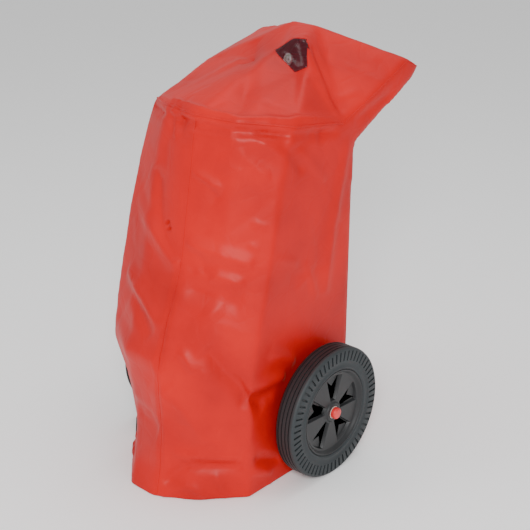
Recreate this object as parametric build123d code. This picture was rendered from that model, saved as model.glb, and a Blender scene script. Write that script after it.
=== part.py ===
"""Wheeled fire extinguisher on a two-wheel trolley under a fitted weather cover.

Frame: millimetres, +Z up, -Y is the front, the wheels turn about X.
The origin is on the floor, under the middle of the axle.
Cylinder, rails and valve are drawn in a leaning frame whose +Z runs up the cylinder.
"""

import os
from math import cos, radians, sin, sqrt, tan

from build123d import *

# ---- driving dimensions ----
wheel_r = 150.0  # wheel radius, so also the height of the axle
wheel_w = 50.0  # tread width
track = 470.0  # between the wheels' middle planes
hub_r = 100.0  # seat of the tyre on the hub
boss_r = 23.0
axle_r = 10.0
bush_wall = 4.0
running_gap = 0.05  # radial, shaft in bush
fit_gap = 0.1  # radial, bolt or tube in a plain hole

lean = 10.0  # degrees that the cylinder leans back
base_z = 75.0  # height at which the cylinder's axis meets the base plate
axle_gap = 8.924  # between the rails and the axle behind them
rail_inset = 3.5  # the rails' rear sides stand this far behind the cylinder

cyl_r = 130.0
cyl_wall = 3.0
dish_h = 55.0  # height of each domed end
dish_z = 20.0  # lowest point of the lower dome, up the axis
shoulder_z = 660.0  # where the upper dome starts
neck_r = 32.0
neck_bore_r = 20.0
neck_h = 20.0
ring_r = 105.0  # foot ring
ring_wall = 4.0
plate_cut_x = 60.0  # the base plate's cut front corners
plate_cut_y = 58.0

tube_r = 13.45
tube_wall = 2.6
rail_x = 120.0
rail_bottom_z = -12.0
rail_top_z = 680.0
arm_rise = 50.0  # from the rail's top to the arm's bend
plate_t = 5.0
plate_h = 50.0
upper_plate_z = 560.0
bracket_up = 75.0  # the axle brackets reach this far up the rails
plate_gap = 3.843  # between a bracket and the lower cross plate
strap_t = 2.5
strap_h = 36.0
strap_gap = 0.3
lug_depth = 11.54  # room for a bolt head between the cylinder and the cross plates
bolt_r = 4.0

bar_y = 298.0  # handle crossbar
bar_z = 853.0
grip_half = 92.0
grip_wall = 3.5
arm_bend_r = 60.0

foot_x = 85.0
foot_r = 16.0
foot_h = 22.0
leg_r = 11.0

cloth_t = 1.5
hem_z = 1.5  # the hem's height above the floor
wheel_clearance = 23.0  # cover's side to the wheel's inner face
hood_fall = 7.5  # degrees that the hood falls from its ridge to the right
front_slack = 39.0  # cover's hem ahead of the cylinder
rear_slack = 38.5  # cover's rear panel behind the upper ends of the rails
fold_z = 314.0  # height at which the front panels fold
bow_x = 110.0  # from the middle to the bend of the front panels
nose_x = 25.0  # from the middle to the sewn front seam
notch_half = 22.0  # opening over the axle, each way from its middle
notch_over = 26.0  # and above it

# ---- sizes that follow ----
front_lean = radians(lean)
rail_y = cyl_r + rail_inset - tube_r
base_y = round(
    -(tube_r + axle_r + axle_gap + rail_y) / cos(front_lean)
    - (wheel_r - base_z) * tan(front_lean),
    2,
)
lower_plate_z = (
    (wheel_r - base_z) / cos(front_lean) + bracket_up + plate_gap + plate_h / 2
)
plate_zs = (lower_plate_z, upper_plate_z)
lug_x = sqrt(cyl_r**2 - (cyl_r + rail_inset - lug_depth) ** 2)
plate_y = rail_y + tube_r
dome_top = shoulder_z + dish_h
neck_top = dome_top - 6.0 + neck_h
wheel_x = track / 2
wheel_face = wheel_x + wheel_w / 2
cover_half = wheel_x - wheel_w / 2 - wheel_clearance
bar_half = cover_half - 3.0
foot_y = base_y - 82.0

leaning = Plane(
    origin=(0, base_y, base_z),
    x_dir=(1, 0, 0),
    z_dir=(0, sin(front_lean), cos(front_lean)),
)


def save(node, shape):
    """Write one node's solids."""
    solids = shape.solids() if hasattr(shape, "solids") else shape
    export_step(Compound(children=list(solids)), f"parts/{node}.step")


def tilt(shape):
    """Take a shape from the cylinder's leaning frame to the part's frame."""
    return leaning.location * shape


def tilted_point(x, y, z):
    """Take a point from the leaning frame to the part's frame."""
    return leaning.from_local_coords(Vector(x, y, z))


def rod(radius, height, x=0.0, y=0.0, z=0.0):
    """Upright round bar that starts at z."""
    return Pos(x, y, z + height / 2) * Cylinder(radius, height)


def tube(outer, inner, height, x=0.0, y=0.0, z=0.0):
    """Upright tube that starts at z."""
    return rod(outer, height, x, y, z) - rod(inner, height, x, y, z)


def cross_rod(radius, x0, x1, y=0.0, z=0.0):
    """Round bar along X from x0 to x1."""
    return Pos((x0 + x1) / 2, y, z) * Rot(0, 90, 0) * Cylinder(radius, x1 - x0)


def cross_tube(outer, inner, x0, x1, y=0.0, z=0.0):
    """Tube along X from x0 to x1."""
    return cross_rod(outer, x0, x1, y, z) - cross_rod(inner, x0, x1, y, z)


def block(x, y, z):
    """Box between two limits on each axis."""
    centre = ((x[0] + x[1]) / 2, (y[0] + y[1]) / 2, (z[0] + z[1]) / 2)
    return Pos(*centre) * Box(x[1] - x[0], y[1] - y[0], z[1] - z[0])


def turned(points):
    """Solid of revolution about Z of a closed outline of (radius, z) points."""
    outline = Polyline(*[(r, 0, z) for r, z in points], close=True)
    return revolve(make_face(outline), Axis.Z)


# ---- pressure cylinder ----
def vessel(radius, dome, low, shoulder):
    """Solid round body with half-ellipse ends."""
    lower = EllipticalCenterArc((0, low + dome), radius, dome, start_angle=270, arc_size=90)
    side = Line((radius, low + dome), (radius, shoulder))
    upper = EllipticalCenterArc((0, shoulder), radius, dome, start_angle=0, arc_size=90)
    axis = Line((0, shoulder + dome), (0, low))
    profile = make_face([lower, side, upper, axis])
    return revolve(Rot(90, 0, 0) * profile, Axis.Z)


def pressure_cylinder():
    outer = vessel(cyl_r, dish_h, dish_z, shoulder_z)
    inner = vessel(cyl_r - cyl_wall, dish_h - cyl_wall, dish_z + cyl_wall, shoulder_z)
    mouth = rod(neck_bore_r, dish_h, z=dome_top - dish_h / 2)
    neck = tube(neck_r, neck_bore_r, neck_h, z=neck_top - neck_h) - outer
    skirt = tube(ring_r, ring_r - ring_wall, dish_z + dish_h) - outer
    save("cylinder", tilt(outer - inner - mouth))
    save("neck_ring", tilt(neck))
    save("foot_ring", tilt(skirt))
    siphon_foot = dish_z + cyl_wall + 8.0
    siphon = tube(11.0, 9.0, neck_top - siphon_foot - 30.0, z=siphon_foot)
    save("siphon_tube", tilt(siphon))


# ---- discharge head ----
head_y = (74.0, 128.0)  # block's reach behind the cylinder's axis
head_z = (786.0, 812.0)
head_x = (-12.0, 54.0)
lever_x = (-4.0, 16.0)
lever_t = 3.0
pivot_y = 84.0
pivot_z = 821.0
pivot_r = 3.0
cheek_t = 3.0
plunger_y = 102.0
pin_y = 116.0
pin_r = 2.0
pin_ring_r = 12.0
gauge_x = 38.0
gauge_y = 114.0  # the dial's face
gauge_z = 842.0
gauge_r = 13.5
gauge_depth = 13.0
outlet_r = 12.0
outlet_bore_r = 7.0
outlet_end = -46.0
lever_knee = 114.0  # where the lever turns up
lever_end = 190.0
lever_end_z = 896.0
lever_gap = 0.7  # from the plunger to the resting lever
lever_hole_r = 3.5
grip_end = 170.0


def riser():
    """Bent pipe from the neck, up and back to the head."""
    middle_x = (lever_x[0] + lever_x[1]) / 2
    middle = ((head_y[0] + head_y[1]) / 2, (head_z[0] + head_z[1]) / 2)
    path = FilletPolyline(
        (0, 0, neck_top + 12.0),
        (0, 0, neck_top + 34.0),
        (middle_x, middle[0], middle[1]),
        radius=18.0,
    )
    pipe = sweep(Plane(origin=path @ 0, z_dir=path % 0) * Circle(12.0), path=path)
    cap = extrude(RegularPolygon(neck_r - 3.0, 6), 14.0)
    plug = rod(neck_bore_r - fit_gap, 40.0, z=neck_top - 40.0)
    plug -= rod(11.0 + fit_gap, 12.0, z=neck_top - 40.0)
    return Pos(0, 0, neck_top) * cap + plug + pipe - block(head_x, head_y, head_z)


def head_block():
    """Brass head: block, two cheeks for the lever, guide and port holes."""
    body = block(head_x, head_y, head_z)
    cheek_x = (lever_x[0] - 0.5 - cheek_t, lever_x[0] - 0.5)
    far_x = (lever_x[1] + 0.5, lever_x[1] + 0.5 + cheek_t)
    cheek_z = (head_z[1], pivot_z + 8.0)
    for x in (cheek_x, far_x):
        body += block(x, (head_y[0], head_y[1] - 2.0), cheek_z)
    body -= cross_rod(pivot_r + 0.05, cheek_x[0] - 1, far_x[1] + 1, pivot_y, pivot_z)
    body -= cross_rod(pin_r + fit_gap, cheek_x[0] - 1, far_x[1] + 1, pin_y, head_z[1] + 4.0)
    middle_x = (lever_x[0] + lever_x[1]) / 2
    return body - rod(3.0 + 0.05, 14.0, middle_x, plunger_y, head_z[1] - 14.0)


def discharge_head():
    middle_x = (lever_x[0] + lever_x[1]) / 2
    body = head_block()
    save("riser_pipe", tilt(riser()))
    save("valve_head", tilt(body))
    outlet_y = (head_y[0] + head_y[1]) / 2
    outlet_z = (head_z[0] + head_z[1]) / 2
    union = cross_tube(outlet_r, outlet_bore_r, outlet_end, head_x[0], outlet_y, outlet_z)
    nut = Rot(0, 90, 0) * extrude(RegularPolygon(16.0, 6), 9.0)
    nut = Pos(head_x[0] - 9.0, outlet_y, outlet_z) * nut
    union += nut - cross_rod(outlet_bore_r, head_x[0] - 12.0, head_x[0] + 1.0, outlet_y, outlet_z)
    save("hose_outlet", tilt(union))

    # lever: pressed plate with a turned-down flange each side at the pivot
    lever_z = (pivot_z + 1.5, pivot_z + 1.5 + lever_t)
    lever_rear = head_y[0] + 1.0
    side_view = Polyline(
        (lever_rear, lever_z[0]),
        (lever_knee, lever_z[0]),
        (lever_end, lever_end_z),
        (lever_end, lever_end_z + 1.4 * lever_t),
        (lever_knee, lever_z[1]),
        (lever_rear, lever_z[1]),
        close=True,
    )
    width = lever_x[1] - lever_x[0]
    lever = Pos(lever_x[0], 0, 0) * Plane.YZ.location * extrude(make_face(side_view), width)
    for x in ((lever_x[0], lever_x[0] + 2.0), (lever_x[1] - 2.0, lever_x[1])):
        lever += block(x, (lever_rear, pivot_y + 9.0), (pivot_z - 6.0, lever_z[0]))
    lever -= cross_rod(pivot_r + 0.05, lever_x[0] - 1, lever_x[1] + 1, pivot_y, pivot_z)
    lever -= rod(lever_hole_r, 40.0, middle_x, lever_end - 10.0, lever_end_z - 30.0)
    save("operating_lever", tilt(lever))
    pin_half = (lever_x[1] - lever_x[0]) / 2 + 0.5 + cheek_t + 1.0
    save("lever_pin", tilt(cross_rod(pivot_r, middle_x - pin_half, middle_x + pin_half, pivot_y, pivot_z)))

    # fixed grip under the lever
    grip_z = (head_z[0] + 6.0, head_z[0] + 10.0)
    grip = block((lever_x[0] - 2.0, lever_x[1] + 2.0), (head_y[1], grip_end), grip_z)
    save("valve_grip", tilt(grip))

    # plunger that the lever presses
    plunger_top = lever_z[0] - lever_gap
    plunger = rod(3.0, plunger_top - head_z[1] + 11.0, middle_x, plunger_y, head_z[1] - 11.0)
    save("valve_plunger", tilt(plunger))

    # safety pin and its pull ring
    pin_z = head_z[1] + 4.0
    left = lever_x[0] - 0.5 - cheek_t - 6.0
    pin = cross_rod(pin_r, left, lever_x[1] + 0.5 + cheek_t + 3.0, pin_y, pin_z)
    ring = Pos(left - pin_ring_r + 1.0, pin_y, pin_z) * Torus(pin_ring_r, 1.2)
    save("safety_pin", tilt(pin + ring))


def gauge():
    """Small pressure gauge that faces the front, on a stem from the head."""
    turn = Pos(gauge_x, gauge_y, gauge_z) * Rot(90, 0, 0)
    case = rod(gauge_r, gauge_depth, z=-gauge_depth)
    case -= rod(gauge_r - 1.5, 3.5, z=-3.5)
    stem = rod(5.0, gauge_z - head_z[1], gauge_x, gauge_y + gauge_depth / 2, head_z[1])
    case = turn * case
    case += stem - turn * rod(gauge_r - 0.5, gauge_depth, z=-gauge_depth)
    dial = turn * rod(gauge_r - 1.6, 0.8, z=-3.5)
    dial -= turn * rod(0.8, 0.8, z=-3.5)
    needle = turn * (rod(1.8, 0.6, z=-2.4) + block((-0.5, 0.5), (-2.0, 9.5), (-2.4, -1.8)))
    post = turn * rod(0.7, 2.0, z=-3.5)
    lens = turn * rod(gauge_r - 1.6, 0.9, z=-1.1)
    save("gauge_case", tilt(case))
    save("gauge_dial", tilt(dial))
    save("gauge_needle", tilt(needle + post))
    save("gauge_lens", tilt(lens))


# ---- trolley frame ----
def frame_rails():
    for side, name in ((-1, "left"), (1, "right")):
        length = rail_top_z - rail_bottom_z
        rail = tube(tube_r, tube_r - tube_wall, length, side * rail_x, rail_y, rail_bottom_z)
        save(f"{name}_rail", tilt(rail))
        start = tilted_point(side * rail_x, rail_y, rail_top_z)
        bend = tilted_point(side * rail_x, rail_y, rail_top_z + arm_rise)
        path = FilletPolyline(
            (start.X, start.Y, start.Z),
            (bend.X, bend.Y, bend.Z),
            (side * rail_x, bar_y, bar_z),
            radius=arm_bend_r,
        )
        ring = Circle(tube_r) - Circle(tube_r - tube_wall)
        arm = sweep(Plane(origin=path @ 0, z_dir=path % 0) * ring, path=path)
        arm -= cross_rod(tube_r, side * rail_x - 30, side * rail_x + 30, bar_y, bar_z)
        arm = max(arm.solids(), key=lambda s: s.volume)
        save(f"{name}_handle_arm", arm)
    spigots = [
        tilt(rod(tube_r - tube_wall - fit_gap, 60.0, side * rail_x, rail_y, rail_top_z - 45.0))
        for side in (-1, 1)
    ]
    save("handle_spigots", Compound(children=[s.solids()[0] for s in spigots]))


def handle_bar():
    save("handle_crossbar", cross_tube(tube_r, tube_r - tube_wall, -bar_half, bar_half, bar_y, bar_z))
    grip = cross_tube(tube_r + grip_wall, tube_r, -grip_half, grip_half, bar_y, bar_z)
    save("handle_grip", grip)
    caps = []
    for side in (-1, 1):
        inside = sorted((side * (bar_half - 15.0), side * bar_half))
        outside = sorted((side * bar_half, side * (bar_half + 4.0)))
        plug = cross_rod(tube_r - tube_wall, *inside, bar_y, bar_z)
        caps.append(plug + cross_rod(tube_r + 0.5, *outside, bar_y, bar_z))
    save("bar_end_caps", Compound(children=[c.solids()[0] for c in caps]))


def plates_and_straps():
    plate_half = rail_x + tube_r + 8.0
    bolts = []
    for z, name in zip(plate_zs, ("lower", "upper")):
        z_span = (z - plate_h / 2, z + plate_h / 2)
        plate = block((-plate_half, plate_half), (plate_y, plate_y + plate_t), z_span)
        hole_end = plate_y + plate_t
        inner = cyl_r + strap_gap
        band_z = z - strap_h / 2
        strap = tube(inner + strap_t, inner, strap_h, z=band_z)
        strap -= block((-lug_x, lug_x), (0, cyl_r + 20.0), z_span)
        core = rod(inner, strap_h, z=band_z)
        for side in (-1, 1):
            lug_span = sorted((side * (lug_x - 16.0), side * (lug_x + 16.0)))
            lug = block(lug_span, (cyl_r - 28.0, plate_y), (band_z, band_z + strap_h)) - core
            strap += lug
        for side in (-1, 1):
            seat = Pos(side * lug_x, hole_end - 15.0, z) * Rot(-90, 0, 0)
            hole = seat * Pos(0, 0, 8.0) * Cylinder(bolt_r + fit_gap, 16.0)
            plate -= hole
            strap -= hole
            shank = seat * Pos(0, 0, 7.75) * Cylinder(bolt_r, 14.5)
            head = seat * Pos(0, 0, 15.0) * extrude(RegularPolygon(7.0, 6), 5.0)
            bolts.append((shank + head + seat * Pos(0, 0, 14.9) * Cylinder(bolt_r, 0.4)).solids()[0])
        save(f"{name}_cross_plate", tilt(plate))
        save(f"{name}_strap", tilt(strap))
    save("strap_bolts", Compound(children=[tilt(b).solids()[0] for b in bolts]))


def base_and_feet():
    front, rear = -ring_r - 12.0, plate_y + plate_t
    half = rail_x + tube_r + 6.0
    outline = Polyline(
        (-half, rear),
        (-half, front + plate_cut_y),
        (-half + plate_cut_x, front),
        (half - plate_cut_x, front),
        (half, front + plate_cut_y),
        (half, rear),
        close=True,
    )
    plate = Pos(0, 0, -plate_t) * extrude(make_face(outline), plate_t)
    for side in (-1, 1):
        plate -= rod(tube_r, 40.0, side * rail_x, rail_y, -20.0)
    save("base_plate", tilt(plate))
    below = tilt(block((-400, 400), (-400, 400), (-400, -plate_t)))
    feet = []
    for side, name in ((-1, "left"), (1, "right")):
        leg_z = 8.0
        leg = tube(leg_r, leg_r - 2.0, 200.0, side * foot_x, foot_y, leg_z) & below
        save(f"{name}_front_leg", leg)
        foot = rod(foot_r, foot_h, side * foot_x, foot_y)
        feet.append(foot - rod(leg_r, foot_h, side * foot_x, foot_y, leg_z))
    save("rubber_feet", Compound(children=[f.solids()[0] for f in feet]))


# ---- axle and wheels ----
def axle_set():
    bracket_in = rail_x + tube_r
    bracket_out = bracket_in + 6.0
    hub_in = wheel_x - wheel_w / 2 + 1.0
    hub_out = wheel_x + wheel_w / 2 - 6.0
    washer_t = 3.0
    tip = wheel_face + 2.0
    save("axle", cross_rod(axle_r, -tip, tip, 0, wheel_r))
    middle = tilted_point(0, rail_y, (wheel_r - base_z) / cos(front_lean))
    run = Vector(0, sin(front_lean), cos(front_lean))
    spacers, washers = [], []
    for side, name in ((-1, "left"), (1, "right")):
        top, low = middle + run * bracket_up, middle - run * 60.0
        outline = Polyline(
            (low.Y - 12.0, low.Z),
            (top.Y - 12.0, top.Z),
            (top.Y + 14.0, top.Z),
            (24.0, wheel_r + 12.0),
            (24.0, wheel_r - 12.0),
            (low.Y + 16.0, low.Z),
            close=True,
        )
        span = sorted((side * bracket_in, side * bracket_out))
        plate = Pos(span[0], 0, 0) * Plane.YZ.location * extrude(make_face(outline), 6.0)
        plate -= cross_rod(axle_r + fit_gap, span[0] - 1, span[1] + 1, 0, wheel_r)
        save(f"{name}_axle_bracket", plate)
        spacer = sorted((side * (bracket_out + 0.2), side * (hub_in - washer_t - 0.4)))
        spacers.append(cross_tube(axle_r + 4.0, axle_r + fit_gap, *spacer, 0, wheel_r))
        washer = sorted((side * (hub_in - washer_t - 0.2), side * (hub_in - 0.2)))
        washers.append(cross_tube(axle_r + 8.0, axle_r + fit_gap, *washer, 0, wheel_r))
        shell = sorted((side * (hub_out + 1.0), side * (tip + 4.0)))
        bore = sorted((side * (hub_out + 1.0), side * tip))
        cap = cross_rod(axle_r + 3.0, *shell, 0, wheel_r)
        cap -= cross_rod(axle_r, *bore, 0, wheel_r)
        save(f"{name}_axle_cap", cap)
    save("axle_spacers", Compound(children=[s.solids()[0] for s in spacers]))
    save("axle_washers", Compound(children=[w.solids()[0] for w in washers]))


def wheel(side, name):
    """Tyre, moulded hub and bush, drawn about Z with +Z pointing outwards."""
    half = wheel_w / 2
    place = Pos(side * wheel_x, 0, wheel_r) * Rot(0, side * 90, 0)
    shoulder = 9.0
    outline = [(hub_r, -half + 4.0), (hub_r, half - 4.0), (hub_r + 6.0, half)]
    outline += [(wheel_r - shoulder, half), (wheel_r, half - shoulder)]
    groove = 1.6
    for z in (14.0, 5.0, -5.0, -14.0):
        outline += [(wheel_r, z + groove), (wheel_r - 2.0, z + groove)]
        outline += [(wheel_r - 2.0, z - groove), (wheel_r, z - groove)]
    outline += [(wheel_r, -half + shoulder), (wheel_r - shoulder, -half), (hub_r + 6.0, -half)]
    save(f"{name}_tyre", place * turned(outline))

    rim_in, web = hub_r - 8.0, 4.0
    disc_low, disc_high = 4.0, 15.0
    pockets = 5
    rim = half - 4.0
    body = turned([
        (axle_r + bush_wall, -half + 1.0),
        (boss_r, -half + 1.0),
        (boss_r, disc_low),
        (rim_in, disc_low),
        (rim_in, -rim),
        (hub_r, -rim),
        (hub_r, rim),
        (rim_in, rim),
        (rim_in, disc_high),
        (boss_r, disc_high),
        (boss_r, half - 6.0),
        (axle_r + bush_wall, half - 6.0),
    ])
    pocket_in, pocket_out = boss_r + 5.0, rim_in - 5.0
    wedge = radians(17.0)
    pocket = Polyline(
        (pocket_in * cos(wedge), -pocket_in * sin(wedge)),
        (pocket_out * cos(wedge), -pocket_out * sin(wedge)),
        (pocket_out, 0),
        (pocket_out * cos(wedge), pocket_out * sin(wedge)),
        (pocket_in * cos(wedge), pocket_in * sin(wedge)),
        close=True,
    )
    cut = Pos(0, 0, disc_low + web) * extrude(make_face(pocket), 20.0)
    for turn in range(pockets):
        body -= Rot(0, 0, 360.0 / pockets * (turn + 0.25)) * cut
    save(f"{name}_hub", place * body)
    bush = tube(axle_r + bush_wall, axle_r + running_gap, wheel_w - 7.0, z=-half + 1.0)
    save(f"{name}_bush", place * bush)


# ---- weather cover ----
# Corners of the cover's outer surface. Names ending in _l and _r are sides.
def cover_corners():
    """Corners worked out from what the cover goes over: wheels, shoulder, gauge, lever and bar."""
    side = cover_half
    rear = tilted_point(0, plate_y + plate_t, rail_top_z).Y + rear_slack
    front = base_y - cyl_r - front_slack
    shoulder = tilted_point(0, -cyl_r, shoulder_z)
    gauge_at = tilted_point(gauge_x, gauge_y, gauge_z)
    lever_tip = tilted_point(lever_x[0], lever_end, lever_end_z)
    notch_top = wheel_r + notch_over
    sides = {
        "bow_hem": (bow_x, front + 50, hem_z),
        "bow_mid": (bow_x, front + 65, fold_z),
        "bow_top": (bow_x, shoulder.Y + 29, shoulder.Z + 64),
        "corner_hem": (side, front + 147, hem_z),
        "corner_mid": (side, front + 132, fold_z),
        "corner_top": (side, shoulder.Y + 101, shoulder.Z + 49),
        "notch_front": (side, -notch_half, hem_z),
        "notch_front_top": (side, -notch_half, notch_top),
        "notch_rear_top": (side, notch_half, notch_top),
        "notch_rear": (side, notch_half, hem_z),
        "rear_hem": (side, rear, hem_z),
        "rear_mid": (side + 3, rear, fold_z),
        "rear_top": (side + 10, rear, shoulder.Z - 26),
        "seam": (side + 16, shoulder.Y + 261, shoulder.Z + 30),
        "tip_low": (side + 18, bar_y + 22, bar_z - 25),
    }
    corners = {}
    for name, (x, y, z) in sides.items():
        corners[name + "_l"] = (-x, y, z)
        corners[name + "_r"] = (x, y, z)
    corners |= {
        "nose_hem": (nose_x, front, hem_z),
        "nose_mid": (nose_x, front + 28, fold_z),
        "nose_top": (nose_x, shoulder.Y, shoulder.Z + 72),
        "gauge_left": (gauge_at.X - 24, gauge_at.Y - 6.5, gauge_at.Z + 16.5),
        "gauge_front": (gauge_at.X + 46, gauge_at.Y - 20.5, gauge_at.Z - 14.5),
        "gauge_right": (gauge_at.X + 64, gauge_at.Y - 18.5, gauge_at.Z - 2.5),
        "gauge_high_right": (gauge_at.X + 40, gauge_at.Y - 2.5, gauge_at.Z + 46.5),
        "gauge_high": (gauge_at.X + 12, gauge_at.Y - 2.5, gauge_at.Z + 43.5),
        "lever_left": (lever_x[0] - 16, lever_tip.Y + 5.5, lever_tip.Z + 16.5),
        "lever_right": (lever_x[1] + 20, lever_tip.Y + 5.5, lever_tip.Z + 16.5),
        "hood_left": (2 - side, shoulder.Y + 263, shoulder.Z + 102),
        "bar_left": (-side - 18, bar_y - 8, bar_z + 33),
        "tip_left": (-side - 18, bar_y + 39, bar_z + 14),
        "ridge": (0, bar_y - 1, bar_z + 46),
        "bar_right": (side + 18, bar_y - 1, bar_z + 46 - (side + 18) * tan(radians(hood_fall))),
        "tip_right": (side + 18, bar_y + 43, bar_z - 2),
    }
    return {name: Vector(*p) for name, p in corners.items()}


def mirrored(loops):
    """The same loops of corners on the other side, turned so that they still face out."""
    swap = {"_l": "_r", "_r": "_l"}
    return [[c[:-2] + swap.get(c[-2:], c[-2:]) for c in reversed(loop)] for loop in loops]


# Each panel is a list of loops, anticlockwise from outside; a loop is filled as a fan.
right_front = [
    ["nose_hem", "bow_hem_r", "bow_mid_r", "nose_mid"],
    ["bow_hem_r", "corner_hem_r", "corner_mid_r", "bow_mid_r"],
    ["nose_mid", "bow_mid_r", "bow_top_r", "nose_top"],
    ["bow_mid_r", "corner_mid_r", "corner_top_r", "bow_top_r"],
]
right_side = [
    ["corner_hem_r", "notch_front_r", "notch_front_top_r", "corner_mid_r"],
    ["notch_rear_r", "rear_hem_r", "rear_mid_r", "notch_rear_top_r"],
    ["notch_rear_top_r", "rear_mid_r", "corner_mid_r", "notch_front_top_r"],
    ["corner_mid_r", "rear_mid_r", "rear_top_r", "seam_r", "corner_top_r"],
]
cover_panels = {
    "cover_right_front": right_front,
    "cover_left_front": mirrored(right_front),
    "cover_right_side": right_side + [
        ["rear_top_r", "tip_low_r", "bar_right", "seam_r"],
        ["tip_low_r", "tip_right", "bar_right"],
    ],
    "cover_left_side": mirrored(right_side) + [
        ["seam_l", "bar_left", "tip_low_l", "rear_top_l"],
        ["bar_left", "tip_left", "tip_low_l"],
    ],
    "cover_rear": [
        ["rear_hem_r", "rear_hem_l", "rear_mid_l", "rear_mid_r"],
        ["rear_mid_r", "rear_mid_l", "rear_top_l", "rear_top_r"],
    ],
    "cover_underside": [
        ["rear_top_r", "rear_top_l", "tip_low_l", "tip_low_r"],
        ["tip_low_r", "tip_low_l", "tip_left", "tip_right"],
    ],
    "hood_front": [
        ["seam_l", "corner_top_l", "hood_left"],
        ["corner_top_l", "bow_top_l", "gauge_left", "hood_left"],
        ["bow_top_l", "nose_top", "gauge_left"],
        ["nose_top", "gauge_front", "gauge_left"],
        ["nose_top", "bow_top_r", "gauge_front"],
        ["bow_top_r", "corner_top_r", "gauge_front"],
        ["corner_top_r", "gauge_right", "gauge_front"],
        ["corner_top_r", "seam_r", "gauge_right"],
    ],
    "hood_back": [
        ["seam_r", "gauge_high_right", "gauge_right"],
        ["seam_r", "lever_right", "gauge_high_right"],
        ["seam_r", "bar_right", "ridge", "lever_right"],
        ["gauge_high", "gauge_high_right", "lever_right", "lever_left"],
        ["gauge_high", "lever_left", "hood_left", "gauge_left"],
        ["lever_left", "lever_right", "ridge"],
        ["lever_left", "ridge", "bar_left"],
        ["hood_left", "lever_left", "bar_left"],
        ["bar_left", "seam_l", "hood_left"],
        ["bar_right", "tip_right", "ridge"],
        ["tip_right", "tip_left", "ridge"],
        ["tip_left", "bar_left", "ridge"],
    ],
    "gauge_window": [
        ["gauge_left", "gauge_front", "gauge_right", "gauge_high"],
        ["gauge_high", "gauge_right", "gauge_high_right"],
    ],
}


def triangles(loops):
    """Corner triples of a panel's fans."""
    return [(loop[0], loop[i], loop[i + 1]) for loop in loops for i in range(1, len(loop) - 1)]


def inner_corners(corners):
    """Each corner moved inwards so that the wall is one cloth thick on every side of it."""
    normals = {name: [] for name in corners}
    for loops in cover_panels.values():
        for names in triangles(loops):
            a, b, c = (corners[n] for n in names)
            normal = (b - a).cross(c - a).normalized()
            for n in names:
                if all((normal - other).length > 0.05 for other in normals[n]):
                    normals[n].append(normal)
    moved = {}
    for name, faces in normals.items():
        mean = sum(faces, Vector(0, 0, 0)).normalized()
        depth = cloth_t / min(max(mean.dot(f), 0.4) for f in faces)
        moved[name] = corners[name] - mean * depth
    return moved


def flat(a, b, c):
    return Face(Wire.make_polygon([a, b, c], close=True))


def sewn_panel(loops, outer, inner):
    """Thin closed solid between a panel's outer and inner corners."""
    faces, edges = [], {}
    for a, b, c in triangles(loops):
        faces.append(flat(outer[a], outer[b], outer[c]))
        faces.append(flat(inner[c], inner[b], inner[a]))
        for edge in ((a, b), (b, c), (c, a)):
            edges[edge] = edges.get(edge, 0) + 1
    for a, b in edges:
        if (b, a) in edges:
            continue
        low, high = sorted((a, b))  # neighbours split their shared side the same way
        faces.append(flat(outer[low], outer[high], inner[high]))
        faces.append(flat(outer[low], inner[high], inner[low]))
    solid = Solid(Shell(faces))
    return solid.fix() if not solid.is_valid else solid


def weather_cover():
    outer = cover_corners()
    inner = inner_corners(outer)
    for node, loops in cover_panels.items():
        save(node, sewn_panel(loops, outer, inner))


os.makedirs("parts", exist_ok=True)
pressure_cylinder()
discharge_head()
gauge()
frame_rails()
handle_bar()
plates_and_straps()
base_and_feet()
axle_set()
wheel(-1, "left")
wheel(1, "right")
weather_cover()
for label, point in {
    "lever pivot": ((lever_x[0] + lever_x[1]) / 2, pivot_y, pivot_z),
    "gauge centre": (gauge_x, gauge_y + 2.0, gauge_z),
    "plunger": ((lever_x[0] + lever_x[1]) / 2, plunger_y, head_z[1]),
    "safety pin": (lever_x[0], pin_y, head_z[1] + 4.0),
    "hose outlet": (outlet_end + 10.0, (head_y[0] + head_y[1]) / 2, (head_z[0] + head_z[1]) / 2),
}.items():
    print(label, tilted_point(*point))
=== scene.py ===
import math
import random

import bmesh
import bpy
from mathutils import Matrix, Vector
from mathutils.bvhtree import BVHTree
from mathutils.geometry import intersect_point_line
from mathutils.kdtree import KDTree


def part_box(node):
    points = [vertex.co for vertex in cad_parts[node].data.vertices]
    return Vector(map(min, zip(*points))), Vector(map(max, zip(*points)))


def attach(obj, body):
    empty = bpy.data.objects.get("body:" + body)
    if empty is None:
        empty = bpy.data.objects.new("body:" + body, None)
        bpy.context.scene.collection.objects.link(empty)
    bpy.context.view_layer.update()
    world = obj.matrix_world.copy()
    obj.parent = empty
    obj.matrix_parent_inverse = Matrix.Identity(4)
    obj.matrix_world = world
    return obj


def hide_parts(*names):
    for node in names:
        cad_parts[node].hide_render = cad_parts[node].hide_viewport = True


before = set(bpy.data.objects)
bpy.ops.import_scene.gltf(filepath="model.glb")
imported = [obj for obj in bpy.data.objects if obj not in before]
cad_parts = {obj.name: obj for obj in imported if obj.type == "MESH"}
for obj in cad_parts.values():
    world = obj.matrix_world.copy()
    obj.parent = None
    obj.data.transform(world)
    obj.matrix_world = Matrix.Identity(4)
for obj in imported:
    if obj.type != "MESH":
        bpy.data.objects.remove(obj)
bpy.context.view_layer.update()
mm = 0.001
print("frame loaded:", len(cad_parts), "nodes")


def hexLinear(code):
    # sRGB hex to the linear colour that shaders take
    parts = [int(code[i:i + 2], 16) / 255 for i in (0, 2, 4)]
    linear = [p / 12.92 if p <= 0.04045 else ((p + 0.055) / 1.055) ** 2.4 for p in parts]
    return (*linear, 1.0)


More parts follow.
